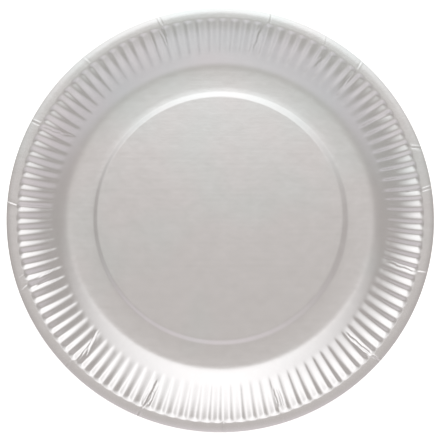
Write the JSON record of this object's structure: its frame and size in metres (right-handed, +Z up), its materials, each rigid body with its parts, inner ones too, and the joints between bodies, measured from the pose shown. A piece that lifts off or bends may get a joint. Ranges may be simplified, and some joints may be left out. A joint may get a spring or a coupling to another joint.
{
  "type": "paper plate",
  "caption": "Round pressed-board plate with a silver foil face, a raised centre panel, a leaning fluted wall and rim, and a plain turned-down lip.",
  "frame": {"origin": "centre of the plate, on the plane that its standing band rests on", "axes": "+Z up, out of the dish, along the plate's axis; +X right and +Y away from the viewer lie in the resting plane"},
  "size_m": [0.23, 0.23, 0.0135],
  "materials": {
    "board": "satin silver foil face on pale board"
  },
  "bodies": {
    "root": {"plate": "board"}
  },
  "joints": []
}
